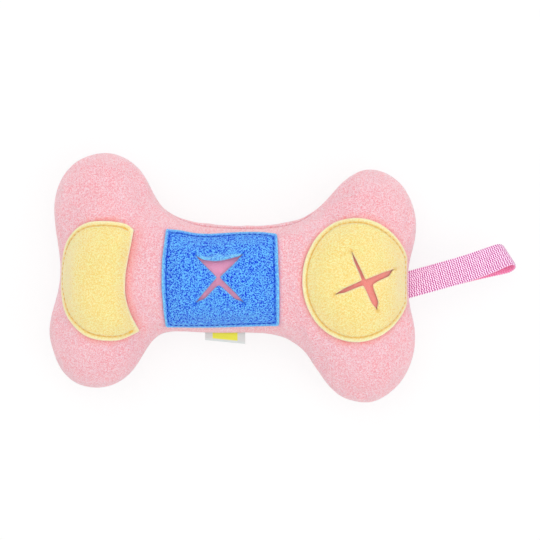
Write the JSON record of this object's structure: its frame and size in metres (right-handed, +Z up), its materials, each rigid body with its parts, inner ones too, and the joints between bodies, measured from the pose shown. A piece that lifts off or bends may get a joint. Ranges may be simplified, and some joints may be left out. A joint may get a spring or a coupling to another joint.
{
  "type": "bone-shaped dog toy",
  "caption": "Stuffed fleece bone with sewn-on treat pockets: a cross-cut square, a cross-cut disc and an open crescent, with a webbing hand loop and a squeaker inside.",
  "frame": {"origin": "middle of the toy's footprint, loop included, on the surface that it lies on", "axes": "+X along the bone towards the webbing loop, +Z up out of the pockets, +Y across the bone"},
  "size_m": [0.2814, 0.1508, 0.0667],
  "materials": {
    "pink_fleece": "brushed polyester fleece, soft short pile",
    "blue_fleece": "brushed polyester fleece, speckled pile",
    "yellow_fleece": "brushed polyester fleece, soft short pile",
    "pink_webbing": "ribbed woven nylon webbing",
    "woven_label": "woven satin ribbon",
    "pink_thread": "spun polyester sewing thread",
    "yellow_thread": "spun polyester sewing thread",
    "blue_thread": "spun polyester sewing thread",
    "fibre_fill": "loose polyester fibre",
    "squeaker_plastic": "blow-moulded, satin",
    "reed_plastic": "thin strip, satin"
  },
  "bodies": {
    "toy": {"front_panel": "pink_fleece", "back_panel": "pink_fleece", "seam_thread": "pink_thread", "closing_thread": "pink_thread", "left_upper_knob_fill": "fibre_fill", "left_lower_knob_fill": "fibre_fill", "right_upper_knob_fill": "fibre_fill", "right_lower_knob_fill": "fibre_fill", "shank_fill_front": "fibre_fill", "shank_fill_back": "fibre_fill", "squeaker_bulb": "squeaker_plastic", "squeaker_reed_holder": "squeaker_plastic", "squeaker_reed": "reed_plastic", "square_patch": "blue_fleece", "square_patch_thread": "blue_thread", "round_patch": "yellow_fleece", "round_patch_thread": "yellow_thread", "crescent_pocket": "yellow_fleece", "crescent_pocket_thread": "yellow_thread", "strap_tails": "pink_webbing", "label_tail": "woven_label"},
    "strap": {"strap_loop": "pink_webbing"},
    "label": {"side_label": "woven_label"}
  },
  "joints": [
    {"name": "strap_swing", "type": "hinge", "parent": "toy", "child": "strap", "pos_m": [0.07695, -0.0039, 0.02477], "axis": [0, -1, 0], "range_deg": [-13, 85], "stiffness_Nm_per_rad": 0.01},
    {"name": "label_flip", "type": "hinge", "parent": "toy", "child": "label", "pos_m": [-0.03461, -0.03412, 0.02477], "axis": [-1, 0, 0], "range_deg": [-60, 60], "stiffness_Nm_per_rad": 0.0001}
  ]
}
